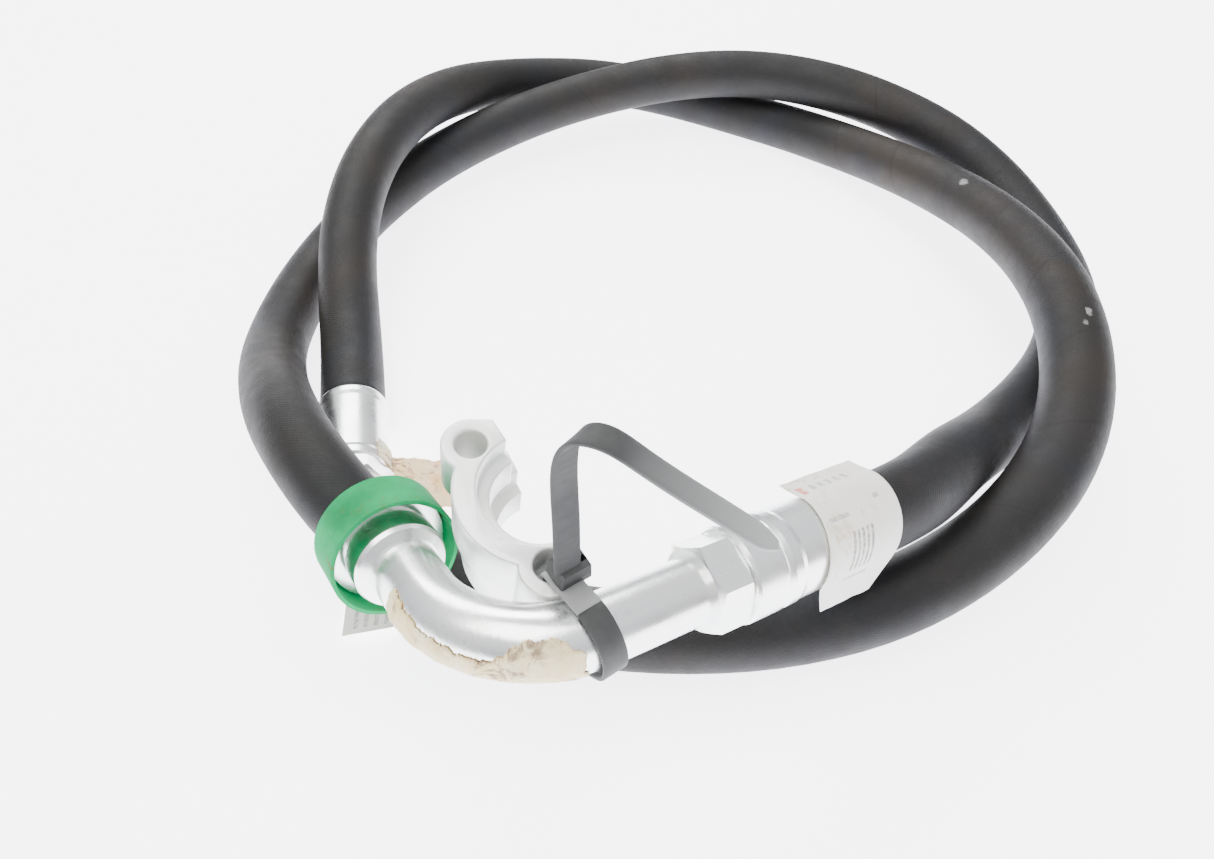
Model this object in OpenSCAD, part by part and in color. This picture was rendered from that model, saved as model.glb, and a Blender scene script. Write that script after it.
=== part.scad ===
// Hydraulic hose assembly, coiled for storage: a flanged 90 degree elbow at end A,
// a straight male face-seal fitting at end B, and a split-flange clamp tied to the elbow.

/* [Hose] */
// Outside diameter of the hose cover
hose_od = 32; // [31:0.5:32]
// Outside diameter of the wire reinforcement
wire_od = 27; // [26:0.5:28]
// Outside diameter of the inner tube
tube_od = 22; // [21:0.5:23]
// Bore of the inner tube
hose_bore = 19; // [18.6:0.1:19.4]
// Length of hose gripped inside each ferrule
grip = 38; // [34:1:40]

/* [Elbow and flange] */
// Outside diameter of the elbow tube
elbow_od = 23; // [21:0.5:25]
// Bore of the elbow tube
elbow_bore = 17; // [15:0.5:17]
// Bend radius of the elbow's centreline
bend_r = 42; // [36:1:46]
// Distance from the elbow's corner to the sealing face
port_reach = 81; // [79:1:82]
// Outside diameter of the flange head
head_od = 41.28; // [40:0.01:41.5]
// Thickness of the flange head
head_t = 8.76; // [8:0.01:9]
// Outside diameter of the flange neck
neck_od = 31.75; // [30:0.05:32]
// Length of the flange, neck and head together
flange_len = 24; // [20:1:26]
// Bore of the flange
port_bore = 19; // [17:0.5:19]
// How far the port points below level, in degrees
port_tilt = 13; // [11:1:14]
// How far the hose leg drops away from the corner, in degrees
leg_drop = 11; // [10:1:12]

/* [Caps] */
// Wall of the push-on caps
cap_wall = 1.3; // [1:0.1:1.4]
// Length of the cap on end A
cap_a_len = 20; // [18:1:21]
// Length of the cap on end B
cap_b_len = 14; // [12:1:14]

/* [Clamp halves] */
// Distance between a half's two bolt holes
bolt_pitch = 50.8; // [50:0.1:51]
// Diameter of the bolt holes
bolt_hole = 11; // [10.5:0.1:11.5]
// Distance from the split line to the bolt holes
bolt_offset = 11.9; // [11:0.1:12.5]
// Thickness of a half
clamp_t = 22; // [20:0.5:22]
// Radius of the rounded ears
ear_r = 10.2; // [9:0.1:10.5]

/* [Cable tie] */
// Width of the strap
tie_w = 8.8; // [8:0.1:9]
// Thickness of the strap
tie_t = 1.4; // [1.2:0.1:1.5]

/* [Hidden] */
$fn = 72;
gap = 0.1;

// Home position: puts the origin under the middle of the whole coil
home = [-261.05, -318.32, 0];

// End A: corner of the elbow, and the two directions of its legs
corner = [35, 116, 92];
hose_dir_a = [cos(leg_drop), -sin(leg_drop) * sin(port_tilt), -sin(leg_drop) * cos(port_tilt)];
collar_x = 76;
ferrule_x = 105;
mouth_x = 151;
mouth_a = corner + mouth_x * hose_dir_a;

// End B: mouth of its ferrule, and its heading on the floor
mouth_b = [63.5, 319, 17.6];
heading_b = 248;
hose_dir_b = [-cos(heading_b), -sin(heading_b), 0];
ferrule_len = mouth_x - ferrule_x;

// The hose's free route between the two ferrules, laid by hand as 1.7 turns on the floor
free_route = [
    [260, 120, 42], [310, 130, 16], [375, 140, 16], [435, 170, 16], [480, 230, 18], [500, 305, 34],
    [480, 385, 47], [430, 455, 52], [360, 500, 43], [280, 520, 32], [200, 515, 22], [135, 485, 16],
    [85, 440, 16], [48, 395, 14], [31, 327, 41], [25, 245, 69], [48, 191, 13], [145, 105, 16],
    [235, 80, 26], [320, 95, 42], [385, 155, 56], [430, 235, 45], [455, 325, 26], [450, 410, 16],
    [420, 485, 16], [370, 535, 28], [305, 555, 38], [240, 545, 52], [185, 510, 61], [140, 470, 55],
    [108, 425, 42], [90, 385, 26]];
route = concat([for (k = [-2:1]) mouth_a + k * grip * hose_dir_a],
               free_route,
               [for (k = [1:-1:-2]) mouth_b + k * grip * hose_dir_b]);

// Rings of the hose tubes
ring_sides = 12;
ring_steps = 2;

// A smooth curve steered by points p: position and direction at s = [span, share of the span]
function blend(p, i, w) = w[0] * p[i] + w[1] * p[i + 1] + w[2] * p[i + 2] + w[3] * p[i + 3];
function curve_at(p, s) = let (u = s[1])
    blend(p, s[0], [pow(1 - u, 3), 3 * u * u * u - 6 * u * u + 4, -3 * u * u * u + 3 * u * u + 3 * u + 1, u * u * u] / 6);
function heading_at(p, s) = let (u = s[1])
    blend(p, s[0], [-pow(1 - u, 2), 3 * u * u - 4 * u, -3 * u * u + 2 * u + 1, u * u] / 2);
function unit(v) = v / norm(v);
function stations_of(p, steps) =
    [for (i = [0:len(p) - 4]) for (k = [0:steps - 1]) [i, k / steps], [len(p) - 4, 1]];
stations = stations_of(route, ring_steps);

// One ring of a tube round the curve, with a vertex straight below the centre
function ring(s, r) =
    let (p = curve_at(route, s), t = unit(heading_at(route, s)),
         side = unit(cross([0, 0, 1], t)), up = cross(t, side))
    [for (k = [0:ring_sides - 1]) let (a = 360 * k / ring_sides) p + r * (sin(a) * side + cos(a) * up)];

// A hollow tube between two stations of the curve
module swept_tube(r_out, r_in, first, last) {
    n = ring_sides;
    m = last - first;
    outer = [for (j = [first:last]) each ring(stations[j], r_out)];
    inner = [for (j = [first:last]) each ring(stations[j], r_in)];
    base = len(outer);
    walls = [for (j = [0:m - 1]) for (k = [0:n - 1])
        let (a = j * n + k, b = j * n + (k + 1) % n)
        each [[a, b, b + n], [a, b + n, a + n], [base + a, base + b + n, base + b], [base + a, base + a + n, base + b + n]]];
    ends = [for (k = [0:n - 1])
        let (a = k, b = (k + 1) % n, c = m * n + k, d = m * n + (k + 1) % n)
        each [[a, base + b, b], [a, base + a, base + b], [c, d, base + d], [c, base + d, base + c]]];
    polyhedron(points = concat(outer, inner), faces = concat(walls, ends), convexity = 12);
}

// A disc or tube along +X, from x0 to x1, with an optional bore
module along_x(r, x0, x1, bore = 0) {
    translate([x0, 0, 0]) rotate([0, 90, 0]) difference() {
        cylinder(r = r, h = x1 - x0);
        if (bore > 0) translate([0, 0, -1]) cylinder(r = bore, h = x1 - x0 + 2);
    }
}

// A solid turned about the X axis from an outline of [x, r] points
module turned_x(outline) {
    rotate([0, 90, 0]) rotate_extrude() polygon([for (p = outline) [p[1], p[0]]]);
}

// A solid turned about the Y axis from an outline of [y, r] points
module turned_y(outline) {
    rotate([-90, 0, 0]) rotate_extrude() polygon([for (p = outline) [p[1], p[0]]]);
}

// Places end A: +X is the hose leg and +Y points out of the port
module at_end_a() {
    translate(home + corner) rotate([-port_tilt, 0, 0]) rotate([0, leg_drop, 0]) children();
}

// Places end B: +X points out of the fitting, and 0 is the ferrule's mouth
module at_end_b() {
    translate(home + mouth_b) rotate([0, 0, heading_b]) children();
}

// ---- Hose ----
module hose_layer(r_out, r_in, skip) {
    translate(home) swept_tube(r_out, r_in, skip, len(stations) - 1 - skip);
}

module hose_cover() {
    color("#2b2a28") hose_layer(hose_od / 2, wire_od / 2 + gap, ring_steps);
}

module wire_reinforcement() {
    color("#8f8a80") hose_layer(wire_od / 2, tube_od / 2 + gap, 0);
}

module inner_tube() {
    color("#1c1c1e") hose_layer(tube_od / 2, hose_bore / 2, 0);
}

// ---- Fittings ----
flange_y = port_reach - flange_len;
seal_groove = [12.3, 16.3, 2.8];
seal_wire = 1.765;
seal_r = 14.3;

module elbow_tube() {
    color("#dfe3e2") at_end_a() union() {
        translate([bend_r, bend_r, 0]) rotate([0, 0, 180]) rotate_extrude(angle = 90)
            translate([bend_r, 0]) difference() {
                circle(d = elbow_od);
                circle(d = elbow_bore);
            }
        along_x(elbow_od / 2, bend_r, collar_x, elbow_bore / 2);
        rotate([0, 0, 90]) along_x(elbow_od / 2, bend_r, flange_y, elbow_bore / 2);
    }
}

module flange_a() {
    back = port_reach - head_t;
    color("#e3e6e5") at_end_a() turned_y([
        [flange_y, port_bore / 2], [flange_y, elbow_od / 2 + 0.6], [flange_y + 1.5, neck_od / 2 - 0.8],
        [flange_y + 3, neck_od / 2], [back - 3.2, neck_od / 2], [back - 2.6, neck_od / 2 - 0.9],
        [back, neck_od / 2 - 0.9], [back, head_od / 2 - 0.5], [back + 0.5, head_od / 2],
        [port_reach - 0.8, head_od / 2], [port_reach, head_od / 2 - 0.8],
        [port_reach, seal_groove[1]], [port_reach - seal_groove[2], seal_groove[1]],
        [port_reach - seal_groove[2], seal_groove[0]], [port_reach, seal_groove[0]],
        [port_reach, port_bore / 2]]);
}

module oring_a() {
    color("#161616") at_end_a() translate([0, port_reach - seal_groove[2] + seal_wire, 0])
        rotate([-90, 0, 0]) rotate_extrude() translate([seal_r, 0]) circle(r = seal_wire, $fn = 32);
}

// Barbed tail that the hose is pushed over, from its root to its tip
tail_r = 8.6;
module barbed_tail(root, tip) {
    bore = 7;
    steps = 5;
    pitch = (tip - root - 6) / steps;
    turned_x(concat([[root, bore]], [for (k = [0:steps - 1])
        each [[root + k * pitch, tail_r - 0.5], [root + (k + 0.8) * pitch, tail_r]]],
        [[tip - 6, tail_r - 0.4], [tip, tail_r - 1.2], [tip, bore]]));
}

// Hexagon of a width across flats, with its corners turned off at both ends
module hex_collar(flats, x0, x1) {
    r = flats / sqrt(3);
    intersection() {
        translate([x0, 0, 0]) rotate([0, 90, 0]) rotate(0) cylinder(r = r, h = x1 - x0, $fn = 6);
        turned_x([[x0, 0], [x0, flats / 2 - 0.4], [x0 + 1.6, r], [x1 - 1.6, r], [x1, flats / 2 - 0.4], [x1, 0]]);
    }
}

lock_r = 10.6;
module stem_a() {
    hex_end = collar_x + 14;
    color("#dcdfdd") at_end_a() union() {
        difference() {
            hex_collar(29, collar_x, hex_end);
            along_x(7, collar_x - 1, hex_end + 1);
        }
        turned_x([[hex_end, 7], [hex_end, 16.4], [hex_end + 1, 17.2], [ferrule_x - 2, 17.2], [ferrule_x, 16.2],
            [ferrule_x, lock_r - gap], [ferrule_x + 6, lock_r - gap], [ferrule_x + 6, 7]]);
        barbed_tail(ferrule_x + 6, mouth_x - 4);
    }
}

// Crimped shell: x0 is the locked end and x1 the mouth where the hose enters
ferrule_r = 17;
module ferrule_shell(x0, x1) {
    inside = wire_od / 2 + 0.2;
    turned_x([[x0, lock_r], [x0, 15.6], [x0 + 1.4, ferrule_r], [x0 + 5, ferrule_r], [x0 + 7, 16.5], [x1 - 6, 16.5],
        [x1 - 4, ferrule_r], [x1 - 1, ferrule_r], [x1, 16.6], [x1, inside], [x0 + 5, inside], [x0 + 5, lock_r]]);
}

module ferrule_a() {
    color("#d9dcda") at_end_a() ferrule_shell(ferrule_x, mouth_x);
}

module push_cap_y(r_in, y_open, length) {
    y_end = y_open + length;
    turned_y([[y_open, r_in], [y_open, r_in + cap_wall], [y_end - 2, r_in + cap_wall], [y_end, r_in + cap_wall - 2],
        [y_end, 0], [y_end - 2, 0], [y_end - 2, r_in]]);
}

module cap_a() {
    color("#27b573") at_end_a() push_cap_y(head_od / 2 + 0.3, port_reach + 3 - cap_a_len, cap_a_len);
}

// End B, with x measured out of the fitting from the ferrule's mouth
hex_b_x = ferrule_len;
hex_b_flats = 32;
nose_x = hex_b_x + 9;
nose_len = 12.3;
nose_r = 15.1;
module stem_b() {
    color("#dcdfdd") at_end_b() union() {
        difference() {
            rotate([30, 0, 0]) hex_collar(hex_b_flats, hex_b_x, nose_x);
            along_x(7, hex_b_x - 1, nose_x + 1);
        }
        turned_x([[hex_b_x - 6, 7], [hex_b_x - 6, lock_r - gap], [hex_b_x, lock_r - gap], [hex_b_x, 7]]);
        mirror([1, 0, 0]) translate([-(hex_b_x - 6), 0, 0]) barbed_tail(0, hex_b_x - 10);
    }
}

module nose_b() {
    root = 13.6;
    pitch = 2.12;
    turns = 3;
    end = nose_x + nose_len;
    groove = [8.6, 12.4, 2.6];
    color("#e3e6e5") at_end_b() turned_x(concat(
        [[nose_x, 7], [nose_x, root - 0.6], [nose_x + 4, root - 0.6]],
        [for (k = [0:turns - 1]) let (x = nose_x + 4 + k * pitch)
            each [[x, root], [x + 0.7, nose_r], [x + 1.3, nose_r], [x + 2, root]]],
        [[end - 2, root], [end, root - 1.2], [end, groove[1]], [end - groove[2], groove[1]],
         [end - groove[2], groove[0]], [end, groove[0]], [end, 7]]));
}

module oring_b() {
    color("#161616") at_end_b() translate([nose_x + nose_len - 2.6 + 1.6, 0, 0])
        rotate([0, 90, 0]) rotate_extrude() translate([10.5, 0]) circle(r = 1.6, $fn = 32);
}

module ferrule_b() {
    color("#d9dcda") at_end_b() mirror([1, 0, 0]) translate([-ferrule_len, 0, 0]) ferrule_shell(0, ferrule_len);
}

module cap_b() {
    r_in = nose_r + 0.3;
    x_end = nose_x + nose_len + 3;
    x_open = x_end - cap_b_len;
    color("#eef0ee") at_end_b() turned_x([[x_open, r_in], [x_open, r_in + cap_wall], [x_end - 2, r_in + cap_wall],
        [x_end, r_in + cap_wall - 2], [x_end, 0], [x_end - 2, 0], [x_end - 2, r_in]]);
}

// ---- Split-flange clamp halves, tied to the elbow ----
// Frame of the tie: Z along the tied bolt holes, Y from the tube towards those holes
tie_x = 36.8;
tie_angles = [25, -9, 6];
hole_y = 23.3;
face_z = 5.7;
module at_tie() {
    at_end_a() translate([tie_x, 0, 0]) rotate([tie_angles[0], 0, 0]) rotate([0, 0, tie_angles[2]])
        rotate([0, tie_angles[1], 0]) children();
}

// One half with its front at the given height: its tied bolt hole is on the Z axis,
// its other hole towards +Y and its split line on the +X side
module clamp_half(face) {
    bore_r = 16.3;
    seat_r = 20.85;
    seat_t = 8.4;
    split = 0.6;
    body_r = 29;
    translate([bolt_offset, bolt_pitch / 2, face - clamp_t]) difference() {
        linear_extrude(clamp_t) difference() {
            union() {
                for (flip = [0, 1]) mirror([0, flip]) translate([-bolt_offset, bolt_pitch / 2]) {
                    circle(r = ear_r);
                    polygon([[-1, -9], [bolt_offset + 2, -9], [bolt_offset + 2, 4], [4, ear_r - 0.9], [-1, ear_r - 0.4]]);
                }
                difference() {
                    circle(r = body_r);
                    for (side = [-1, 1]) translate([-body_r, side * (bolt_pitch / 2 + 20) - 20])
                        square([2 * body_r, 40]);
                }
            }
            circle(r = bore_r);
            for (y = [-1, 1] * bolt_pitch / 2) translate([-bolt_offset, y]) circle(d = bolt_hole);
            translate([-split, -50]) square(100);
        }
        translate([0, 0, clamp_t - seat_t]) cylinder(r = seat_r, h = seat_t + 1);
    }
}

front_turn = -1;
rear_turn = -7;
rear_face = face_z - clamp_t - 0.5;
module clamp_half_front() {
    color("#e8eae8") at_tie() translate([0, hole_y, 0]) rotate(front_turn) clamp_half(face_z);
}

module clamp_half_rear() {
    color("#e8eae8") at_tie() translate([0, hole_y, 0]) rotate(rear_turn) clamp_half(rear_face);
}

// ---- Cable tie ----
strap_r = elbow_od / 2 + 1.3;
strap_y = hole_y - 2.2;
strap_front = face_z + 0.5;
strap_back = rear_face - clamp_t - 0.5;

// Loop outline in the Y-Z plane: round the tube, over the ears and through the bolt holes
module loop_outline() {
    hull() {
        translate([0.4, 0]) circle(r = strap_r);
        translate([strap_y - 1, strap_front - 1]) circle(r = 1, $fn = 24);
        translate([strap_y - 1, strap_back + 1]) circle(r = 1, $fn = 24);
        translate([hole_y - ear_r + 0.4, strap_back + 1]) circle(r = 1, $fn = 24);
    }
}

// The strap's free tail: rises from the head, bends over and runs out above the hose leg
tail_route = [[71, 126, 98], [71, 126, 105], [71, 126, 113], [72, 127, 124], [73, 129, 138], [74, 130, 149],
    [76, 128, 159], [82, 121, 160], [88, 114, 153], [95, 106, 146], [103, 99, 138], [109, 93, 132],
    [115, 88, 126], [121, 83, 120]];
tail_sides = [[98, 0, -10], [98, 0, -10], [98, 0, -10], [98, 0, -15], [98, 5, -19], [97, 12, -15],
    [92, 40, -8], [80, 60, 0], [71, 70, 0], [71, 70, 0], [71, 70, 0], [71, 70, 0], [71, 70, 0], [71, 70, 0]];
tail_steps = 3;

// One cross-section of the tail, narrowed by a share near its tip
function tail_ring(s, share) =
    let (p = curve_at(tail_route, s), t = unit(heading_at(tail_route, s)), w = curve_at(tail_sides, s),
         side = unit(w - (w * t) * t), face = cross(side, t))
    [for (c = [[-1, -1], [1, -1], [1, 1], [-1, 1]]) p + c[0] * share * tie_w / 2 * side + c[1] * tie_t / 2 * face];

module tail() {
    stops = stations_of(tail_route, tail_steps);
    m = len(stops) - 1;
    points = [for (j = [0:m]) each tail_ring(stops[j], j > m - 3 ? [0.9, 0.7, 0.4][j - m + 2] : 1)];
    sides = [for (j = [0:m - 1]) for (k = [0:3]) let (a = 4 * j + k, b = 4 * j + (k + 1) % 4)
        each [[a, b, b + 4], [a, b + 4, a + 4]]];
    ends = [[0, 2, 1], [0, 3, 2], [4 * m, 4 * m + 1, 4 * m + 2], [4 * m, 4 * m + 2, 4 * m + 3]];
    polyhedron(points = points, faces = concat(sides, ends), convexity = 6);
}

module cable_tie() {
    head = [11, 9, 8];
    color("#2c2c2e") union() {
        at_tie() {
            translate([-tie_w / 2, 0, 0]) rotate([90, 0, 90]) linear_extrude(tie_w) difference() {
                offset(delta = tie_t) loop_outline();
                loop_outline();
            }
            translate([2, 12.5, 9.5]) translate(-[1, 0, 0] * head[0] / 2) cube(head);
        }
        translate(home) tail();
    }
}

// ---- Tape and labels ----
module elbow_tape() {
    r = elbow_od / 2;
    reach = 3 * r;
    color("#ead9ae") at_end_a() translate([bend_r, bend_r, 0]) rotate([0, 0, 180 + 1])
        rotate_extrude(angle = 73) translate([bend_r, 0]) intersection() {
            difference() {
                circle(r = r + 0.9);
                circle(r = r + 0.1);
            }
            polygon([[0, 0], reach * [cos(30), sin(30)], [reach, 0], reach * [1, -1], reach * [cos(-110), sin(-110)]]);
        }
}

module tape_b() {
    inner = ferrule_r + 0.05;
    color("#efe4c2") at_end_b() union() {
        along_x(inner + 0.5, ferrule_len - 12, ferrule_len - 0.6, inner);
        translate([ferrule_len - 11, inner + 0.2, 0]) cube([10, 3, 0.8]);
        translate([ferrule_len - 8, inner + 2.2, 0]) rotate([-20, 0, 0]) cube([28, 38, 0.8]);
    }
}

module label_a() {
    color("#f2efe6") at_end_a() along_x(17.9, mouth_x - 30, mouth_x + 10, 17.2);
}

module label_b() {
    color("#f2efe6") at_end_b() union() {
        along_x(17.4, nose_x + 2.5, nose_x + 13.5, 16.8);
        translate([nose_x + 11, -6, -17.4]) cube([52, 26, 0.6]);
    }
}

hose_cover();
wire_reinforcement();
inner_tube();
elbow_tube();
flange_a();
oring_a();
stem_a();
ferrule_a();
cap_a();
stem_b();
nose_b();
oring_b();
ferrule_b();
cap_b();
clamp_half_front();
clamp_half_rear();
cable_tie();
elbow_tape();
tape_b();
label_a();
label_b();
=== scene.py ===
import bmesh
import bpy
import math
import numpy as np
from mathutils import Matrix, Vector, noise


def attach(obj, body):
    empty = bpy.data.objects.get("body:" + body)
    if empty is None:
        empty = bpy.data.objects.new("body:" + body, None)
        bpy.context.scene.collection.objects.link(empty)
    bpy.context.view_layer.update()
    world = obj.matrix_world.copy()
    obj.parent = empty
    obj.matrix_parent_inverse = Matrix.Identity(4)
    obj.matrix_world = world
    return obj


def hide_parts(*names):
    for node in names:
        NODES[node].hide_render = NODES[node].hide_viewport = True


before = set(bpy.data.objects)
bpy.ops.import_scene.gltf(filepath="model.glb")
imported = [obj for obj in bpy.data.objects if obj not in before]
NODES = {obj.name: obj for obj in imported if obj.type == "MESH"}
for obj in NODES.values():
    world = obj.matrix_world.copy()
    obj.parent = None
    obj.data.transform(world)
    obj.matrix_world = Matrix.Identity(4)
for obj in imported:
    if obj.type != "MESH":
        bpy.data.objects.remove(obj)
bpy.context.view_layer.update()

# ---- Places shared with the model, in metres ----
HOME = Vector((-0.26105, -0.31832, 0))
CORNER = Vector((0.035, 0.116, 0.092))
MOUTH_X = 0.151
GRIP = 0.038
PORT_TILT_DEG, LEG_DROP_DEG, HEADING_B_DEG = 13, 11, 248
PORT_TILT, LEG_DROP = math.radians(PORT_TILT_DEG), math.radians(LEG_DROP_DEG)
MOUTH_B = Vector((0.0635, 0.319, 0.0176))
HEADING_B = math.radians(HEADING_B_DEG)
TIE_X, TIE_ANGLES, HOLE_Y, FACE_Z = 0.0368, (25, -9, 6), 0.0233, 0.0057
ELBOW_R, BEND_R = 0.0115, 0.042
HOSE_R = 0.016
HOSE_ROUND = 2 * math.pi * HOSE_R


def rot(axis, degrees):
    return Matrix.Rotation(math.radians(degrees), 4, axis)


END_A = Matrix.Translation(HOME + CORNER) @ rot("X", -PORT_TILT_DEG) @ rot("Y", LEG_DROP_DEG)
END_B = Matrix.Translation(HOME + MOUTH_B) @ rot("Z", HEADING_B_DEG)
TIE = (END_A @ Matrix.Translation((TIE_X, 0, 0)) @ rot("X", TIE_ANGLES[0]) @ rot("Z", TIE_ANGLES[2])
       @ rot("Y", TIE_ANGLES[1]))
MOUTH_A = CORNER + MOUTH_X * Vector((math.cos(LEG_DROP), -math.sin(LEG_DROP) * math.sin(PORT_TILT),
                                     -math.sin(LEG_DROP) * math.cos(PORT_TILT)))
DIR_A = (MOUTH_A - CORNER).normalized()
DIR_B = -Vector((math.cos(HEADING_B), math.sin(HEADING_B), 0))
FREE = [(260, 120, 42), (310, 130, 16), (375, 140, 16), (435, 170, 16), (480, 230, 18), (500, 305, 34),
        (480, 385, 47), (430, 455, 52), (360, 500, 43), (280, 520, 32), (200, 515, 22), (135, 485, 16),
        (85, 440, 16), (48, 395, 14), (31, 327, 41), (25, 245, 69), (48, 191, 13), (145, 105, 16),
        (235, 80, 26), (320, 95, 42), (385, 155, 56), (430, 235, 45), (455, 325, 26), (450, 410, 16),
        (420, 485, 16), (370, 535, 28), (305, 555, 38), (240, 545, 52), (185, 510, 61), (140, 470, 55),
        (108, 425, 42), (90, 385, 26)]
ROUTE = ([MOUTH_A + k * GRIP * DIR_A for k in (-2, -1, 0, 1)] + [Vector(p) / 1000 for p in FREE]
         + [MOUTH_B + k * GRIP * DIR_B for k in (1, 0, -1, -2)])

# ---- Camera ----
cam = bpy.data.objects.new("camera", bpy.data.cameras.new("camera"))
bpy.context.scene.collection.objects.link(cam)
CAM_HEIGHT, CAM_TURN, LEVEL, DOWN = 0.3136, math.radians(34), 0.6947, 0.7193
cam.location = HOME + Vector((0, 0, CAM_HEIGHT))
look = Vector((LEVEL * math.sin(CAM_TURN), LEVEL * math.cos(CAM_TURN), -DOWN))
cam.rotation_mode = "QUATERNION"
cam.rotation_quaternion = look.to_track_quat("-Z", "Y")
cam.data.sensor_width = 36
cam.data.lens = 25.2059308
cam.data.clip_start, cam.data.clip_end = 0.01, 50
bpy.context.scene.camera = cam


# ---- Curves ----
def spline(points, steps):
    """Points and directions along the smooth curve that the points steer."""
    out = []
    for i in range(len(points) - 3):
        for k in range(steps + (i == len(points) - 4)):
            u = k / steps
            w = ((1 - u) ** 3 / 6, (3 * u ** 3 - 6 * u * u + 4) / 6,
                 (-3 * u ** 3 + 3 * u * u + 3 * u + 1) / 6, u ** 3 / 6)
            d = (-(1 - u) ** 2 / 2, (3 * u * u - 4 * u) / 2, (-3 * u * u + 2 * u + 1) / 2, u * u / 2)
            p = sum((w[j] * Vector(points[i + j]) for j in range(4)), Vector((0, 0, 0)))
            t = sum((d[j] * Vector(points[i + j]) for j in range(4)), Vector((0, 0, 0)))
            out.append((p, t.normalized()))
    return out


def grid_mesh(name, rows, uvs, closed=False, caps=False):
    """A mesh of rows of points; closed joins each row's end to its start, so its uv rows are one longer."""
    m, n = len(rows), len(rows[0])
    verts = [tuple(p) for r in rows for p in r]
    faces, loops = [], []
    width = n if closed else n - 1
    for i in range(m - 1):
        for k in range(width):
            a, b = i * n + k, i * n + (k + 1) % n
            faces.append((a, b, b + n, a + n))
            loops += [uvs[i][k], uvs[i][k + 1], uvs[i + 1][k + 1], uvs[i + 1][k]]
    if caps:
        faces.append(tuple(range(n - 1, -1, -1)))
        faces.append(tuple((m - 1) * n + k for k in range(n)))
        loops += [uvs[0][0]] * n + [uvs[-1][0]] * n
    me = bpy.data.meshes.new(name)
    me.from_pydata(verts, [], faces)
    layer = me.uv_layers.new(name="UVMap")
    for i, uv in enumerate(loops):
        layer.data[i].uv = uv
    me.shade_smooth()
    ob = bpy.data.objects.new(name, me)
    bpy.context.scene.collection.objects.link(ob)
    return ob


# ---- Material helpers ----
class Mat:
    """A small builder for node materials."""

    def __init__(self, name, **values):
        self.m = bpy.data.materials.new(name)
        self.m.use_nodes = True
        self.t = self.m.node_tree
        self.p = self.t.nodes["Principled BSDF"]
        for key, v in values.items():
            self.p.inputs[key.replace("_", " ")].default_value = v

    def node(self, kind, **values):
        n = self.t.nodes.new(kind)
        for key, v in values.items():
            if hasattr(n, key):
                setattr(n, key, v)
            else:
                n.inputs[key.replace("_", " ")].default_value = v
        return n

    def link(self, a, b):
        self.t.links.new(a, b)

    def coords(self, kind="Object", matrix=None, scale=(1, 1, 1)):
        tc = self.node("ShaderNodeTexCoord")
        out = tc.outputs[kind]
        if matrix is not None:
            mp = self.node("ShaderNodeMapping", vector_type="TEXTURE")
            mp.inputs["Location"].default_value = matrix.translation
            mp.inputs["Rotation"].default_value = matrix.to_euler()
            self.link(out, mp.inputs["Vector"])
            out = mp.outputs[0]
        if tuple(scale) != (1, 1, 1):
            ms = self.node("ShaderNodeMapping")
            ms.inputs["Scale"].default_value = scale
            self.link(out, ms.inputs["Vector"])
            out = ms.outputs[0]
        return out

    def noise(self, vec, scale, detail=4, rough=0.55, distortion=0.0):
        n = self.node("ShaderNodeTexNoise", Scale=scale, Detail=detail, Roughness=rough,
                      Distortion=distortion)
        self.link(vec, n.inputs["Vector"])
        return n.outputs["Fac"]

    def ramp(self, fac, *stops):
        r = self.node("ShaderNodeValToRGB")
        r.color_ramp.interpolation = "LINEAR"
        el = r.color_ramp.elements
        while len(el) < len(stops):
            el.new(0.5)
        for e, (pos, c) in zip(el, stops):
            e.position = pos
            e.color = (*c, 1) if isinstance(c, tuple) else (c, c, c, 1)
        self.link(fac, r.inputs["Fac"])
        return r.outputs["Color"]

    def mix(self, fac, a, b):
        x = self.node("ShaderNodeMix", data_type="RGBA", blend_type="MIX")
        for value, socket in ((fac, x.inputs[0]), (a, x.inputs[6]), (b, x.inputs[7])):
            if isinstance(value, (int, float)):
                socket.default_value = value if socket.type == "VALUE" else (value, value, value, 1)
            elif isinstance(value, tuple):
                socket.default_value = (*value, 1)
            else:
                self.link(value, socket)
        return x.outputs[2]

    def math(self, op, a, b=0.0):
        x = self.node("ShaderNodeMath", operation=op)
        for value, socket in zip((a, b), x.inputs):
            if isinstance(value, (int, float)):
                socket.default_value = value
            else:
                self.link(value, socket)
        return x.outputs[0]

    def axis(self, vec, which):
        s = self.node("ShaderNodeSeparateXYZ")
        self.link(vec, s.inputs[0])
        return s.outputs[which]

    def bump(self, height, strength, distance):
        b = self.node("ShaderNodeBump", Strength=strength, Distance=distance)
        self.link(height, b.inputs["Height"])
        return b.outputs["Normal"]

    def color(self, out):
        self.link(out, self.p.inputs["Base Color"])

    def rough(self, out):
        self.link(out, self.p.inputs["Roughness"])

    def normal(self, out):
        self.link(out, self.p.inputs["Normal"])


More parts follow.
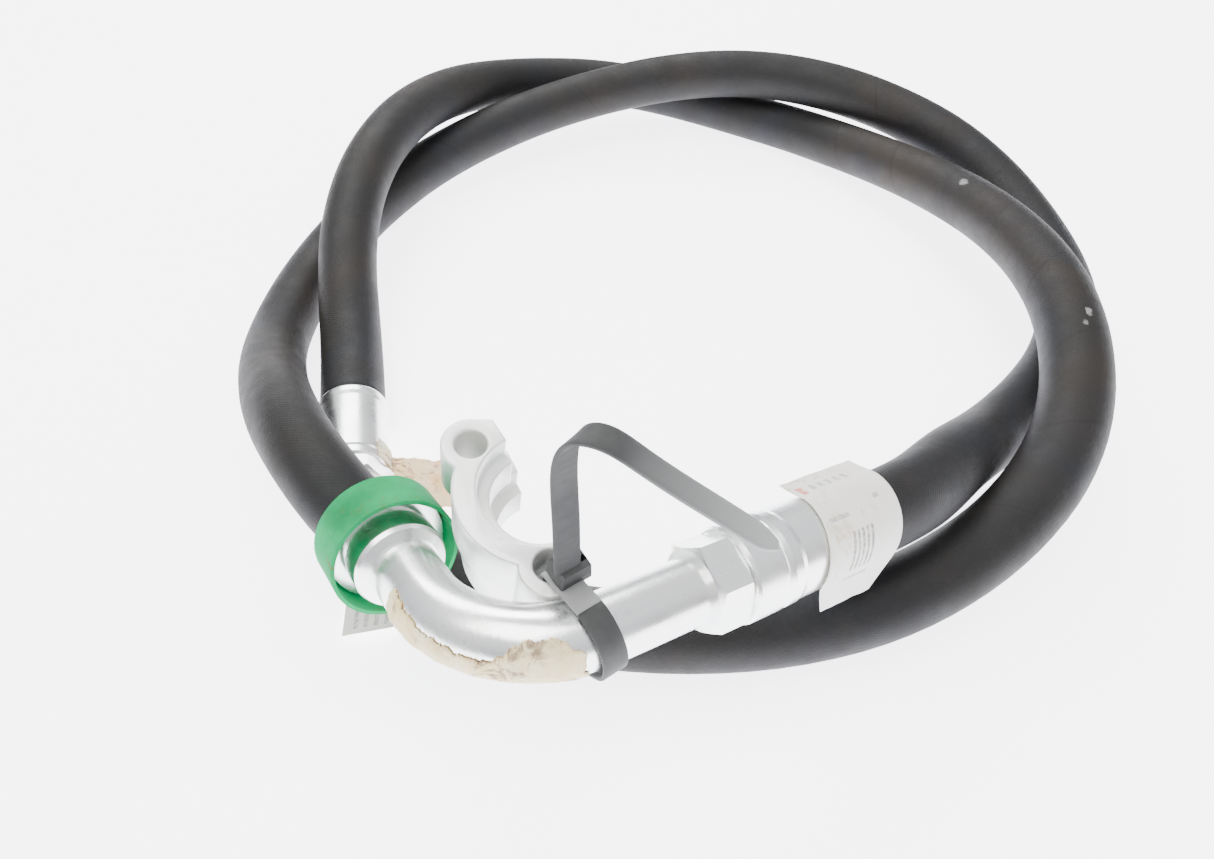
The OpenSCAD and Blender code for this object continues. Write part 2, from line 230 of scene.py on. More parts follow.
def hose_material():
    """Black cover rubber with a cloth impression, cloudy browns, bluish patches and a few scuffs."""
    m = Mat("hose_wrap", Specular_IOR_Level=0.3)
    uv = m.coords("UV")
    big = m.noise(m.coords("Object"), 9, 3, 0.5)
    mid = m.noise(m.coords("Object"), 60, 6, 0.65)
    fine = m.noise(m.coords("Object"), 700, 3, 0.7)
    # cloth impression: spiral wrap steps with fine threads along and across them
    u, v = m.axis(uv, 0), m.axis(uv, 1)
    lay = m.math("ADD", m.math("MULTIPLY", v, 1 / 0.055), u)
    step = m.math("FRACT", lay)
    threads = m.math("SINE", m.math("MULTIPLY", lay, 2 * math.pi * 34))
    slant = m.math("SUBTRACT", u, m.math("MULTIPLY", v, 1.2))
    cross = m.math("SINE", m.math("MULTIPLY", slant, 2 * math.pi * 80))
    weave = m.math("MULTIPLY", threads, cross)
    edge = m.math("LESS_THAN", step, 0.035)
    base = m.ramp(big, (0.3, (0.006, 0.006, 0.007)), (0.52, (0.011, 0.010, 0.009)),
                  (0.72, (0.021, 0.016, 0.012)))
    cool = m.ramp(m.noise(m.coords("Object"), 14, 2, 0.5, 1.2), (0.45, 0.0), (0.75, 0.75))
    base = m.mix(cool, base, (0.009, 0.011, 0.016))
    dust = m.ramp(mid, (0.55, 0.0), (0.78, 0.5))
    base = m.mix(dust, base, (0.026, 0.022, 0.018))
    worn = m.ramp(m.noise(m.coords("Object", scale=(1, 1, 0.3)), 190, 5, 0.75), (0.66, 0.0), (0.80, 0.55))
    base = m.mix(worn, base, (0.06, 0.055, 0.05))
    base = m.mix(m.math("MULTIPLY", edge, 0.35), base, (0.006, 0.006, 0.006))
    speck = m.noise(m.coords("Object"), 380, 4, 0.7)
    scuffs = ((0.07, 1.744, 0.007, 0.55), (0.989, 1.608, 0.006, 0.5), (0.01, 1.60, 0.004, 0.35))
    for at_u, at_v, long, strong in scuffs:
        du = m.math("MULTIPLY", m.math("SUBTRACT", u, at_u), HOSE_ROUND * 1.4)
        dv = m.math("SUBTRACT", v, at_v)
        far = m.math("SQRT", m.math("ADD", m.math("MULTIPLY", du, du), m.math("MULTIPLY", dv, dv)))
        spot = m.ramp(m.math("ADD", m.math("DIVIDE", far, long), m.math("MULTIPLY", speck, 0.9)),
                      (0.75, strong), (1.15, 0.0))
        base = m.mix(spot, base, (0.42, 0.41, 0.40))
    m.color(base)
    m.rough(m.ramp(mid, (0.25, 0.50), (0.8, 0.72)))
    h = m.math("ADD", m.math("MULTIPLY", weave, 0.25), m.math("MULTIPLY", fine, 0.9))
    h = m.math("ADD", h, m.math("MULTIPLY", step, 0.5))
    m.normal(m.bump(h, 0.35, 0.0004))
    return m.m


def zinc(name, matrix, tint, rough, dull=0.0):
    """Bright zinc plate on turned or drawn steel, with faint passivation colours along the part."""
    m = Mat(name, Metallic=1.0)
    v = m.coords("Object", matrix)
    along = m.node("ShaderNodeMapping")
    along.inputs["Scale"].default_value = (12, 90, 90)
    m.link(v, along.inputs["Vector"])
    streak = m.noise(along.outputs[0], 1.0, 3, 0.6, 0.4)
    hue = m.ramp(streak, (0.30, (0.80, 0.90, 0.91)), (0.42, (0.90, 0.93, 0.90)), (0.52, (0.93, 0.94, 0.93)),
                 (0.62, (0.95, 0.94, 0.87)), (0.74, (0.86, 0.93, 0.89)))
    cloud = m.noise(v, 70, 5, 0.6)
    base = m.mix(tint, (0.95, 0.96, 0.96), hue)
    base = m.mix(m.ramp(cloud, (0.50, 0.0), (0.82, 0.35)), base, (0.80, 0.82, 0.82))
    spots = m.ramp(m.noise(v, 420, 2, 0.5), (0.68, 0.0), (0.76, 0.5))
    base = m.mix(spots, base, (0.55, 0.52, 0.46))
    m.color(base)
    turned = m.node("ShaderNodeMapping")
    turned.inputs["Scale"].default_value = (2600, 30, 30)
    m.link(v, turned.inputs["Vector"])
    lines = m.noise(turned.outputs[0], 1.0, 2, 0.5)
    r = m.ramp(m.math("ADD", m.math("MULTIPLY", cloud, 0.7), m.math("MULTIPLY", lines, 0.3)),
               (0.3, rough[0]), (0.75, rough[1]))
    m.rough(r)
    h = m.math("ADD", m.math("MULTIPLY", lines, 0.35),
               m.math("MULTIPLY", m.noise(v, 900, 3, 0.6), 0.5 + dull))
    m.normal(m.bump(h, 0.16 + 0.2 * dull, 0.0002))
    return m.m


def forged():
    """Pale, matt zinc plate on a forging, in cloudy tones with dark pits."""
    m = Mat("zinc_forging", Metallic=0.75)
    v = m.coords("Object")
    cloud = m.noise(v, 45, 5, 0.6)
    grain = m.noise(v, 800, 4, 0.7)
    base = m.ramp(cloud, (0.3, (0.80, 0.83, 0.82)), (0.5, (0.90, 0.91, 0.89)), (0.7, (0.93, 0.92, 0.87)))
    pits = m.ramp(m.noise(v, 260, 4, 0.6), (0.66, 0.0), (0.8, 0.6))
    base = m.mix(pits, base, (0.50, 0.47, 0.42))
    m.color(base)
    m.rough(m.ramp(cloud, (0.3, 0.34), (0.7, 0.52)))
    m.normal(m.bump(m.math("ADD", grain, m.math("MULTIPLY", cloud, 1.5)), 0.28, 0.0004))
    return m.m


def rubber_seal():
    m = Mat("seal_nitrile", Specular_IOR_Level=0.5)
    v = m.coords("Object")
    m.color(m.ramp(m.noise(v, 300, 4), (0.3, (0.012, 0.012, 0.012)), (0.8, (0.035, 0.034, 0.033))))
    m.rough(m.ramp(m.noise(v, 700, 3), (0.3, 0.3), (0.8, 0.5)))
    m.normal(m.bump(m.noise(v, 1500, 3), 0.1, 0.0002))
    return m.m


def plastic(name, dark, mid, light, dirt, rough=(0.30, 0.5), subsurface=0.15, shine=0.5):
    """Moulded polyethylene in three close tones, with dirt and fine scratches."""
    m = Mat(name, Subsurface_Weight=subsurface, Subsurface_Scale=0.004, Specular_IOR_Level=shine)
    v = m.coords("Object")
    cloud = m.noise(v, 38, 4, 0.55)
    base = m.ramp(cloud, (0.3, dark), (0.5, mid), (0.72, light))
    marks = m.math("MULTIPLY", m.ramp(m.noise(v, 85, 6, 0.7, 1.5), (0.54, 0.0), (0.66, 0.8)),
                   m.ramp(m.noise(v, 30, 2), (0.48, 0.0), (0.6, 1.0)))
    base = m.mix(marks, base, dirt)
    scratch = m.ramp(m.noise(m.coords("Object", scale=(1, 0.1, 1)), 900, 2, 0.5), (0.68, 0.0), (0.74, 0.35))
    base = m.mix(scratch, base, light)
    m.color(base)
    m.rough(m.ramp(m.noise(v, 120, 5, 0.65), (0.3, rough[0]), (0.75, rough[1])))
    m.normal(m.bump(m.noise(v, 500, 4, 0.6), 0.12, 0.0003))
    return m.m


def nylon():
    """Dark grey nylon, with a painted sheen that turns the strap paler towards its far end."""
    m = Mat("tie_nylon", Specular_IOR_Level=0.2)
    v = m.coords("Object")
    along = m.axis(m.coords("UV"), 1)
    base = m.ramp(m.noise(v, 60, 4), (0.3, (0.040, 0.041, 0.041)), (0.75, (0.070, 0.072, 0.071)))
    # painted sheen: from about 7 to 11 cm along the strap the base fades to pale grey
    m.color(m.mix(m.ramp(along, (0.066, 0.0), (0.115, 1.0)), base, (0.28, 0.285, 0.28)))
    m.rough(m.ramp(m.noise(v, 160, 5, 0.65), (0.3, 0.50), (0.75, 0.64)))
    m.normal(m.bump(m.noise(v, 900, 3), 0.06, 0.0002))
    return m.m


def masking(name):
    """Torn crepe masking tape: crinkles across it, with stains and dirt in patches."""
    m = Mat(name, Subsurface_Weight=0.1, Subsurface_Scale=0.003)
    uv = m.coords("UV")
    v = m.coords("Object")
    crinkle = m.node("ShaderNodeMapping")
    crinkle.inputs["Scale"].default_value = (900, 160, 1)
    m.link(uv, crinkle.inputs["Vector"])
    crepe = m.noise(crinkle.outputs[0], 1.0, 4, 0.6, 0.5)
    cloud = m.noise(v, 55, 5, 0.6)
    base = m.ramp(cloud, (0.34, (0.74, 0.52, 0.22)), (0.44, (0.86, 0.68, 0.36)), (0.56, (0.90, 0.77, 0.50)),
                  (0.70, (0.93, 0.88, 0.74)))
    base = m.mix(m.math("MULTIPLY", m.ramp(crepe, (0.4, 0.0), (0.7, 1.0)), 0.25), base, (0.62, 0.48, 0.28))
    stain = m.math("MULTIPLY", m.ramp(m.noise(v, 130, 6, 0.75, 2.0), (0.48, 0.0), (0.60, 1.0)),
                   m.ramp(m.noise(v, 42, 3, 0.5), (0.46, 0.0), (0.58, 0.9)))
    base = m.mix(stain, base, (0.22, 0.14, 0.09))
    m.color(base)
    m.rough(m.ramp(crepe, (0.3, 0.62), (0.7, 0.85)))
    m.normal(m.bump(m.math("ADD", crepe, m.math("MULTIPLY", m.noise(v, 240, 4), 1.2)), 0.5, 0.0005))
    return m.m


def paper(name, boxes, stains=True):
    """White label paper with plain blocks (u0, v0, u1, v1, colour, bars); negative bars run crosswise."""
    m = Mat(name)
    uv = m.coords("UV")
    v = m.coords("Object")
    u, w = m.axis(uv, 0), m.axis(uv, 1)
    base = m.ramp(m.noise(v, 60, 4), (0.3, (0.83, 0.80, 0.73)), (0.6, (0.90, 0.88, 0.83)),
                  (0.75, (0.92, 0.91, 0.88)))
    for u0, w0, u1, w1, c, lines in boxes:
        wide = m.math("MULTIPLY", m.math("GREATER_THAN", u, u0), m.math("LESS_THAN", u, u1))
        high = m.math("MULTIPLY", m.math("GREATER_THAN", w, w0), m.math("LESS_THAN", w, w1))
        inside = m.math("MULTIPLY", wide, high)
        if lines > 0:
            bars = m.math("GREATER_THAN", m.math("SINE", m.math("MULTIPLY", u, 6.283 * lines)), -0.1)
            inside = m.math("MULTIPLY", inside, bars)
        elif lines < 0:
            bars = m.math("GREATER_THAN", m.math("SINE", m.math("MULTIPLY", w, 6.283 * -lines)), 0.2)
            inside = m.math("MULTIPLY", inside, bars)
        fade = m.ramp(m.noise(v, 700, 3), (0.35, 0.35), (0.6, 0.95))
        base = m.mix(m.math("MULTIPLY", inside, fade), base, c)
    if stains:
        s = m.math("MULTIPLY", m.ramp(m.noise(v, 150, 5, 0.7, 1.0), (0.54, 0.0), (0.68, 0.8)),
                   m.ramp(m.noise(v, 48, 2), (0.50, 0.0), (0.62, 0.9)))
        base = m.mix(s, base, (0.58, 0.42, 0.22))
    m.color(base)
    m.rough(m.ramp(m.noise(v, 300, 4), (0.3, 0.45), (0.7, 0.62)))
    m.normal(m.bump(m.noise(v, 350, 4), 0.22, 0.0004))
    return m.m


def dress(node, material):
    """Gives a CAD piece its material."""
    ob = NODES[node]
    ob.data.materials.clear()
    ob.data.materials.append(material)


def put(ob, body, slot, *nodes, material):
    """Gives a new piece its material and body, and hides the CAD pieces that it stands for; the slot argument
    is not used.
    """
    ob.data.materials.append(material)
    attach(ob, body)
    if nodes:
        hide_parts(*nodes)
    return ob


# ---- Hose, the free cord ----
def hose():
    """The hose as one tube, with the line it follows and its length between the ferrules' mouths."""
    steps = 10
    line = spline(ROUTE, steps)[steps:-steps]
    rows, uvs, travel, last = [], [], 0.0, None
    sides = 36
    for p, t in line:
        if last is not None:
            travel += (p - last).length
        last = p
        side = Vector((0, 0, 1)).cross(t).normalized()
        up = t.cross(side)
        row = []
        for k in range(sides):
            a = 2 * math.pi * k / sides
            d = math.sin(a) * side + math.cos(a) * up
            q = p + HOSE_R * d
            swell = 0.00025 * noise.noise(q * 22) - 0.00025
            row.append(HOME + p + (HOSE_R + swell) * d)
        rows.append(row)
        uvs.append([(k / sides, travel) for k in range(sides + 1)])
    ob = grid_mesh("hose_tube", rows, uvs, closed=True, caps=True)
    return ob, [tuple(HOME + p) for p, t in line], travel


tube, path, hose_length = hose()
put(tube, "hose", "cover_rubber", "hose_cover", material=hose_material())


# ---- CAD pieces that stay, with their materials ----
PORT_AXIS = END_A @ rot("Z", 90)
dress("flange_a", zinc("zinc_flange", PORT_AXIS, 0.5, (0.16, 0.34)))
dress("oring_a", rubber_seal())
dress("oring_b", NODES["oring_a"].data.materials[0])
leg_zinc = zinc("zinc_leg", END_A, 0.55, (0.20, 0.38))
dress("elbow_tube", zinc("zinc_elbow", END_A, 0.45, (0.16, 0.36), 0.3))
dress("stem_a", leg_zinc)
dress("ferrule_a", leg_zinc)
end_b_zinc = zinc("zinc_end_b", END_B, 0.5, (0.22, 0.40))
for n in ("ferrule_b", "stem_b", "nose_b"):
    dress(n, end_b_zinc)
dress("cap_a", plastic("cap_green", (0.0, 0.20, 0.060), (0.0, 0.32, 0.105), (0.0, 0.42, 0.15),
                       (0.12, 0.14, 0.05), (0.6, 0.75), 0.0, 0.05))
dress("cap_b", plastic("cap_white", (0.70, 0.71, 0.69), (0.80, 0.81, 0.79), (0.88, 0.88, 0.86),
                       (0.42, 0.38, 0.30)))
dress("wire_reinforcement", end_b_zinc)
dress("inner_tube", NODES["oring_a"].data.materials[0])
forging = forged()


# ---- Rounded copies of machined CAD pieces ----
def rounded(node, body, slot, material, width):
    """A copy of a CAD piece with bevelled edges, which stands for it."""
    me = NODES[node].data.copy()
    me.name = node + "_rounded"
    bm = bmesh.new()
    bm.from_mesh(me)
    bmesh.ops.remove_doubles(bm, verts=bm.verts, dist=1e-6)
    bmesh.ops.dissolve_limit(bm, angle_limit=math.radians(1.0), verts=bm.verts, edges=bm.edges)
    bm.to_mesh(me)
    bm.free()
    me.materials.clear()
    ob = bpy.data.objects.new(node + "_rounded", me)
    bpy.context.scene.collection.objects.link(ob)
    bev = ob.modifiers.new("edges", "BEVEL")
    bev.width, bev.segments, bev.limit_method, bev.angle_limit = width, 3, "ANGLE", math.radians(32)
    bev.harden_normals = True
    for poly in me.polygons:
        poly.use_smooth = True
    return put(ob, body, slot, node, material=material)


rounded("clamp_half_front", "clamp_front", "zinc_forged", forging, 0.0011)
rounded("clamp_half_rear", "clamp_rear", "zinc_forged", forging, 0.0011)


# ---- Cable tie ----
TIE_W, TIE_T = 0.0088, 0.0014


def strap(name, line, widths, teeth=0.0, tooth_pitch=0.0022):
    """A strap along line = [(point, direction, side)], with rounded edges and optional teeth on one face."""
    half = [(-1, -0.2), (-0.97, -0.8), (-0.9, -1), (-0.55, -1), (0, -1), (0.55, -1), (0.9, -1), (0.97, -0.8),
            (1, -0.2)]
    section = half + [(-x, -z) for x, z in half]
    rows, uvs, travel, last = [], [], 0.0, None
    for (p, t, side), w in zip(line, widths):
        if last is not None:
            travel += (p - last).length
        last = p
        side = (side - side.dot(t) * t).normalized()
        face = side.cross(t)
        row = []
        for x, z in section:
            lift = 0.0
            if teeth and z > 0.9 and abs(x) < 0.6:
                lift = teeth * (0.5 - (travel / tooth_pitch) % 1.0)
            row.append(p + side * x * w * TIE_W / 2 + face * (z * TIE_T / 2 + lift))
        rows.append(row)
        uvs.append([(x, travel) for x, z in section] + [(section[0][0], travel)])
    return grid_mesh(name, rows, uvs, closed=True, caps=True)


def cable_tie():
    """The tie as three pieces: the loop through the bolt holes, the free tail and the head."""
    mat = nylon()
    strap_r = ELBOW_R + 0.0013
    strap_y, front, back = HOLE_Y - 0.0022, FACE_Z + 0.0005, FACE_Z - 0.045
    circles = [(0.0004, 0.0, strap_r), (strap_y - 0.001, front - 0.001, 0.001),
               (strap_y - 0.001, back + 0.001, 0.001), (HOLE_Y - 0.0102 + 0.0004, back + 0.001, 0.001)]
    pts = []
    for cy, cz, r in circles:
        for k in range(96):
            a = 2 * math.pi * k / 96
            pts.append((cy + r * math.cos(a), cz + r * math.sin(a)))
    pts = sorted(set(pts))

    def turn(o, a, b):
        return (a[0] - o[0]) * (b[1] - o[1]) - (a[1] - o[1]) * (b[0] - o[0])

    lower, upper = [], []
    for q in pts:
        while len(lower) > 1 and turn(lower[-2], lower[-1], q) <= 0:
            lower.pop()
        lower.append(q)
    for q in reversed(pts):
        while len(upper) > 1 and turn(upper[-2], upper[-1], q) <= 0:
            upper.pop()
        upper.append(q)
    hull = lower[:-1] + upper[:-1]
    hull = [Vector((0, y, z)) for y, z in hull]
    dense = []
    for a, b in zip(hull, hull[1:] + hull[:1]):
        n = max(1, int((b - a).length / 0.0012))
        dense += [a.lerp(b, k / n) for k in range(n)]
    m = len(dense)
    start = max(range(m), key=lambda i: dense[i].z + dense[i].y * 0.2 if dense[i].y < 0.018 else -1)
    dense = dense[start:] + dense[:start]
    line = []
    basis = TIE.to_3x3()
    for i in range(m + 1):
        p, q, o = dense[i % m], dense[(i + 1) % m], dense[(i - 1) % m]
        t = (q - o).normalized()
        out = Vector((0, t.z, -t.y))
        line.append((TIE @ (p + out * TIE_T / 2), basis @ t, basis @ Vector((1, 0, 0))))
    loop = strap("tie_loop", line, [1.0] * len(line))
    put(loop, "hose", "tie_nylon", "cable_tie", material=mat)
    tail_pts = [(71, 126, 98), (71, 126, 105), (71, 126, 113), (72, 127, 124), (73, 129, 138), (74, 130, 149),
                (76, 128, 159), (82, 121, 160), (88, 114, 153), (95, 106, 146), (103, 99, 138), (109, 93, 132),
                (115, 88, 126), (121, 83, 120)]
    sides = [(98, 0, -10), (98, 0, -10), (98, 0, -10), (98, 0, -15), (98, 5, -19), (97, 12, -15), (92, 40, -8),
             (80, 60, 0)] + [(71, 70, 0)] * 6
    a = spline([Vector(q) / 1000 for q in tail_pts], 14)
    b = spline([Vector(q) / 100 for q in sides], 14)
    n = len(a)
    line = [(HOME + p, t, s[0].normalized()) for (p, t), s in zip(a, b)]
    widths = [1.0 if i < n - 12 else max(0.35, 1.0 - 0.65 * ((i - n + 12) / 11) ** 1.6) for i in range(n)]
    tail = strap("tie_tail", line, widths, teeth=0.00025)
    put(tail, "hose", "tie_nylon", material=mat)
    # head: a moulded box with a slot through it for the tail, narrower at its top face and with bevelled edges
    bm = bmesh.new()
    outer = [(-0.0055, -0.0045), (0.0055, -0.0045), (0.0055, 0.0045), (-0.0055, 0.0045)]
    inner = [(-0.0047, -0.0016), (0.0047, -0.0016), (0.0047, 0.0004), (-0.0047, 0.0004)]
    rings = []
    for shape, z in ((outer, -0.004), (outer, 0.004), (inner, 0.004), (inner, -0.004)):
        f = 0.86 if shape is outer and z > 0 else 1.0
        rings.append([bm.verts.new((x * f, y * f, z)) for x, y in shape])
    for r in range(4):
        lo, hi = rings[r], rings[(r + 1) % 4]
        for k in range(4):
            bm.faces.new((lo[k], lo[(k + 1) % 4], hi[(k + 1) % 4], hi[k]))
    bmesh.ops.recalc_face_normals(bm, faces=bm.faces)
    me = bpy.data.meshes.new("tie_head")
    bm.to_mesh(me)
    bm.free()
    head = bpy.data.objects.new("tie_head", me)
    bpy.context.scene.collection.objects.link(head)
    head.matrix_world = TIE @ Matrix.Translation((0.002, 0.0170, 0.0135))
    bev = head.modifiers.new("edges", "BEVEL")
    bev.width, bev.segments, bev.limit_method = 0.0007, 3, "ANGLE"
    me.shade_smooth()
    put(head, "hose", "tie_nylon", material=mat)


cable_tie()


# ---- Torn tape on the elbow ----
def elbow_tape():
    """Torn tape over the outside of the bend, with a ragged top edge and crumpled layers."""
    rows, uvs = [], []
    nu, nv = 150, 70
    for i in range(nu + 1):
        s = i / nu
        ang = math.radians(181 + 75 * s)
        jag = Vector((s * 9, 3.1, 0))
        top = np.interp(s, (0, 0.1, 0.25, 0.42, 0.55, 0.64, 0.74, 0.9, 1), (40, 31, 18, 8, 2, 15, 42, 42, 18))
        top += 5 * noise.noise(jag) + 6 * noise.noise(jag * 4.3) + 4 * noise.noise(jag * 13)
        bottom = (-105 + 8 * noise.noise(jag + Vector((5, 5, 0)))
                  + 5 * noise.noise(jag * 5 + Vector((9, 1, 0))))
        row, ruv = [], []
        for k in range(nv + 1):
            f = k / nv
            a = math.radians(bottom + (top - bottom) * f)
            q = Vector((s * 66, a * 11.5, 0)) / 10
            wrinkle = 0.5 * abs(noise.noise(q * 1.3)) + 0.35 * abs(noise.noise(q * 3.7 + Vector((3, 0, 0))))
            layer = 0.35 * (1 if noise.noise(Vector((s * 7, a * 1.1, 8))) > 0.05 else 0)
            r = ELBOW_R + 0.00025 + 0.00075 * wrinkle + 0.0004 * layer
            if i in (0, nu) or k in (0, nv):
                r = ELBOW_R + 0.0002
            da = 0.05 * noise.noise(Vector((a * 3, s * 3, 1))) * (1 if s > 0.9 or s < 0.1 else 0)
            c = Vector((BEND_R, BEND_R, 0))
            rad = Vector((math.cos(ang + da), math.sin(ang + da), 0))
            row.append(END_A @ (c + rad * (BEND_R + r * math.cos(a)) + Vector((0, 0, r * math.sin(a)))))
            ruv.append((s * 0.09, f * 0.035))
        rows.append(row)
        uvs.append(ruv)
    ob = grid_mesh("elbow_masking_tape", rows, uvs)
    sol = ob.modifiers.new("thickness", "SOLIDIFY")
    sol.thickness, sol.offset = 0.0003, -1
    put(ob, "hose", "masking_tape", "elbow_tape", material=masking("masking_tape"))


elbow_tape()


# ---- Paper label on the hose leg ----
def label_a():
    """Paper wrapped part of the way round the hose, with both ends standing off it as flaps."""
    red, grey, dark = (0.70, 0.06, 0.03), (0.42, 0.42, 0.40), (0.22, 0.22, 0.21)
    mat = paper("label_paper_a", [(0.06, 0.80, 0.14, 0.90, red, 0), (0.20, 0.82, 0.78, 0.89, grey, 9),
                                  (0.08, 0.56, 0.34, 0.585, grey, 0), (0.30, 0.26, 0.62, 0.48, dark, 16),
                                  (0.30, 0.19, 0.62, 0.215, grey, 0), (0.72, 0.60, 0.80, 0.63, grey, 0)])
    rows, uvs = [], []
    nu, nv = 40, 90
    arc0, arc1, r, flap_top, flap_low = math.radians(72), math.radians(192), 0.01745, 0.013, 0.016
    total = flap_top + r * (arc1 - arc0) + flap_low
    for k in range(nv + 1):
        d = total * k / nv
        if d < flap_top:
            e = flap_top - d
            y = r * math.cos(arc0) + e * math.sin(arc0)
            z = r * math.sin(arc0) - e * math.cos(arc0) + 6 * e * e
        elif d > total - flap_low:
            e = d - (total - flap_low)
            y = r * math.cos(arc1) - e * math.sin(arc1) - 4 * e * e
            z = r * math.sin(arc1) + e * math.cos(arc1)
        else:
            a = arc0 + (d - flap_top) / r
            y, z = r * math.cos(a), r * math.sin(a)
        row, ruv = [], []
        for i in range(nu + 1):
            s = i / nu
            f = 1 - k / nv
            x = 0.1225 + 0.036 * s + 0.012 * (f - 0.5)
            if f < 0.2:
                x += 0.007 * (0.2 - f) / 0.2 * (1 - 1.6 * s)
            wave = 0.0003 * noise.noise(Vector((s * 4, f * 5, 2)))
            row.append(END_A @ Vector((x, y * (1 + wave / r), z * (1 + wave / r))))
            ruv.append((s, f))
        rows.append(row)
        uvs.append(ruv)
    ob = grid_mesh("hose_label", rows, uvs)
    sol = ob.modifiers.new("thickness", "SOLIDIFY")
    sol.thickness, sol.offset = 0.0002, 0
    put(ob, "hose", "label_paper", "label_a", material=mat)


label_a()


# ---- Label and tape at the other end ----
def label_b():
    """Paper wrapped round the end cap, with its free end lying by the floor."""
    red, grey = (0.75, 0.10, 0.05), (0.45, 0.45, 0.43)
    mat = paper("label_paper_b", [(0.52, 0.02, 0.66, 0.22, red, 0),
                                  (0.74, 0.12, 0.95, 0.92, grey, -6)], False)
    rows, uvs = [], []
    nv, nu = 60, 24
    r = 0.0171
    arc = math.radians(330)
    for k in range(nv + 1):
        f = k / nv
        a = math.radians(-90) + arc * f
        row, ruv = [], []
        for i in range(nu + 1):
            s = i / nu
            x = 0.0575 + 0.011 * s
            row.append(END_B @ Vector((x, r * math.cos(a), r * math.sin(a))))
            ruv.append((0.02 + 0.1 * s, 0.1))
        rows.append(row)
        uvs.append(ruv)
    wrap = grid_mesh("cap_label_wrap", rows, uvs)
    sol = wrap.modifiers.new("thickness", "SOLIDIFY")
    sol.thickness, sol.offset = 0.0002, 0
    put(wrap, "cap_b", "label_paper", "label_b", material=mat)
    rows, uvs = [], []
    for i in range(41):
        s = i / 40
        row, ruv = [], []
        for k in range(31):
            f = k / 30
            x = 0.067 + 0.053 * s
            y = -0.005 + 0.025 * f - 0.003 * s
            lift = 0.0035 * max(0, s - 0.55) ** 1.5 * 3
            z = -0.0172 + 0.0009 * s + lift + 0.0005 * noise.noise(Vector((s * 3, f * 3, 4)))
            row.append(END_B @ Vector((x, y, z)))
            ruv.append((s, f))
        rows.append(row)
        uvs.append(ruv)
    flag = grid_mesh("cap_label_flag", rows, uvs)
    sol = flag.modifiers.new("thickness", "SOLIDIFY")
    sol.thickness, sol.offset = 0.0002, 1
    put(flag, "cap_b", "label_paper", material=mat)


label_b()


def tape_b():
    """Tape wrapped part of the way round the ferrule, with a loose end."""
    rows, uvs = [], []
    r = 0.0173
    for k in range(61):
        a = math.radians(-150 + 190 * k / 60)
        row, ruv = [], []
        for i in range(17):
            s = i / 16
            x = 0.034 + 0.0114 * s + 0.0012 * noise.noise(Vector((a * 2, s, 0))) * (1 if i in (0, 16) else 0)
            rr = r + 0.0002 * noise.noise(Vector((a * 4, s * 3, 3)))
            row.append(END_B @ Vector((x, rr * math.cos(a), rr * math.sin(a))))
            ruv.append((s * 0.012, a * 0.017))
        rows.append(row)
        uvs.append(ruv)
    mat = masking("masking_tape_b")
    wrap = grid_mesh("end_tape_wrap", rows, uvs)
    put(wrap, "hose", "masking_tape", "tape_b", material=mat)
    wrap.modifiers.new("thickness", "SOLIDIFY").thickness = 0.0002
    rows, uvs = [], []
    for k in range(41):
        f = k / 40
        row, ruv = [], []
        for i in range(29):
            s = i / 28
            rag = 0.0015 * noise.noise(Vector((f * 9, i, 5))) * (1 if i in (0, 28) else 0)
            x = 0.037 + 0.029 * s + rag
            y = 0.0175 + 0.037 * f + (0.0012 * noise.noise(Vector((s * 9, 2, 1))) if k == 40 else 0)
            z = 0.0006 - 0.0125 * f + 0.0012 * noise.noise(Vector((s * 2.5, f * 3, 7))) * f
            row.append(END_B @ Vector((x, y, z)))
            ruv.append((s * 0.03, f * 0.04))
        rows.append(row)
        uvs.append(ruv)
    flag = grid_mesh("end_tape_flag", rows, uvs)
    flag.modifiers.new("thickness", "SOLIDIFY").thickness = 0.0004
    put(flag, "hose", "masking_tape", material=mat)


tape_b()

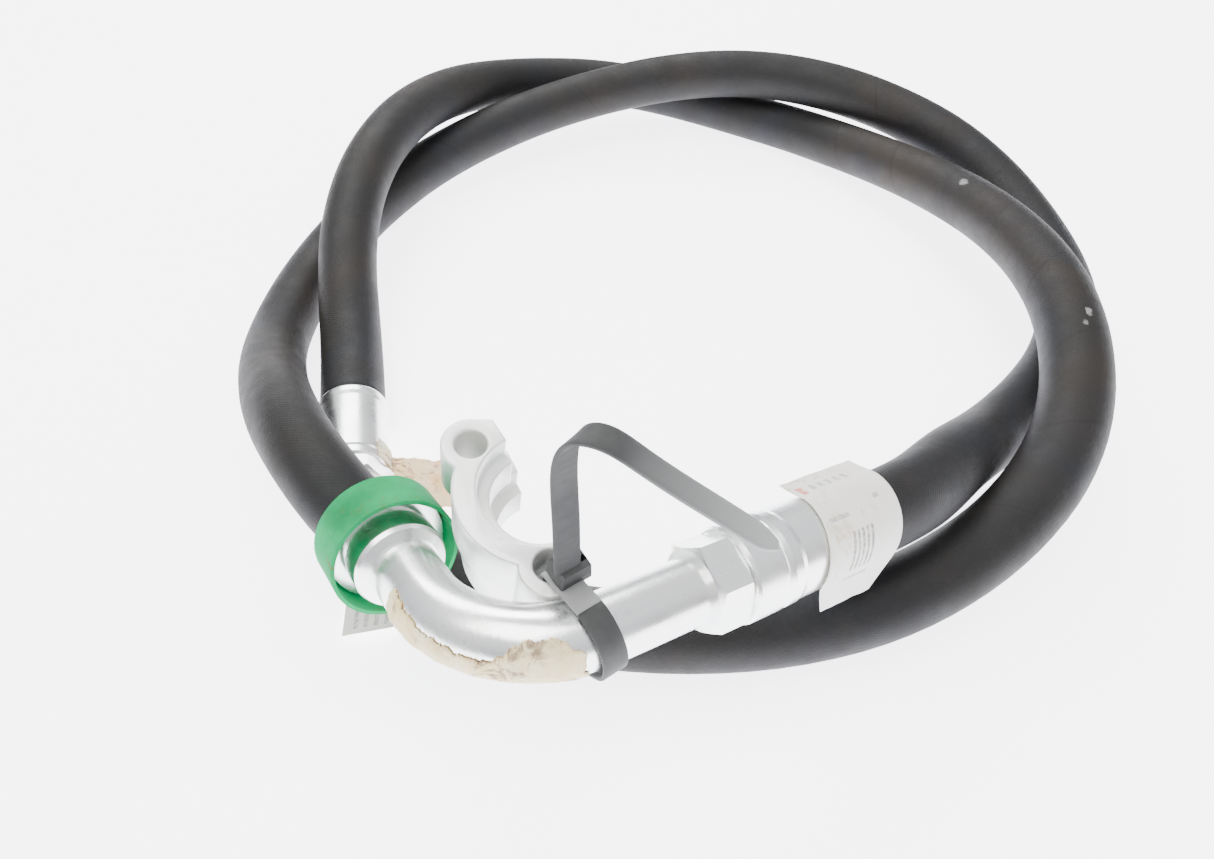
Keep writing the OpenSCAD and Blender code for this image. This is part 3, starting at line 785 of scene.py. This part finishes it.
# ---- Floor, light and backdrop ----
me = bpy.data.meshes.new("floor")
me.from_pydata([(-6, -6, 0), (6, -6, 0), (6, 6, 0), (-6, 6, 0)], [], [(0, 1, 2, 3)])
floor = bpy.data.objects.new("floor", me)
bpy.context.scene.collection.objects.link(floor)
fm = Mat("floor_paint", Roughness=0.6, Specular_IOR_Level=0.25, Emission_Strength=4.6)
fm.p.inputs["Emission Color"].default_value = (0.93, 0.93, 1.0, 1)
fm.color(fm.ramp(fm.noise(fm.coords("Object"), 2.5, 2), (0.3, (0.90, 0.90, 0.92)), (0.7, (0.93, 0.93, 0.94))))
me.materials.append(fm.m)

world = bpy.data.worlds.new("studio")
bpy.context.scene.world = world
world.use_nodes = True
bg = world.node_tree.nodes["Background"]
wt = world.node_tree
tc = wt.nodes.new("ShaderNodeTexCoord")
sep = wt.nodes.new("ShaderNodeSeparateXYZ")
wt.links.new(tc.outputs["Generated"], sep.inputs[0])
sky = wt.nodes.new("ShaderNodeValToRGB")
stops = ((0.0, 0.60), (0.5, 0.54), (0.60, 0.76), (0.80, 1.25), (1.0, 1.35))
while len(sky.color_ramp.elements) < len(stops):
    sky.color_ramp.elements.new(0.5)
for e, (at, v) in zip(sky.color_ramp.elements, stops):
    e.position, e.color = at, (0.96 * v, 0.97 * v, 1.0 * v, 1)
half = wt.nodes.new("ShaderNodeMath")
half.operation = "MULTIPLY_ADD"
half.inputs[1].default_value, half.inputs[2].default_value = 0.5, 0.5
wt.links.new(sep.outputs[2], half.inputs[0])
wt.links.new(half.outputs[0], sky.inputs["Fac"])
wt.links.new(sky.outputs["Color"], bg.inputs["Color"])
bg.inputs["Strength"].default_value = 1.0


def lamp(name, where, target, size, power, colour):
    """A rectangular lamp that faces target."""
    data = bpy.data.lights.new(name, "AREA")
    data.shape, data.size, data.size_y = "RECTANGLE", size[0], size[1]
    data.energy, data.color = power, colour
    ob = bpy.data.objects.new(name, data)
    bpy.context.scene.collection.objects.link(ob)
    ob.location = where
    ob.rotation_mode = "QUATERNION"
    ob.rotation_quaternion = (Vector(target) - Vector(where)).to_track_quat("-Z", "Y")


lamp("window", (0.5, 1.6, 1.7), (0, 0, 0), (1.6, 1.0), 48, (1.0, 1.0, 1.0))
lamp("overhead", (-0.5, -0.2, 2.0), (0, 0, 0), (1.4, 1.4), 40, (1.0, 0.99, 0.97))
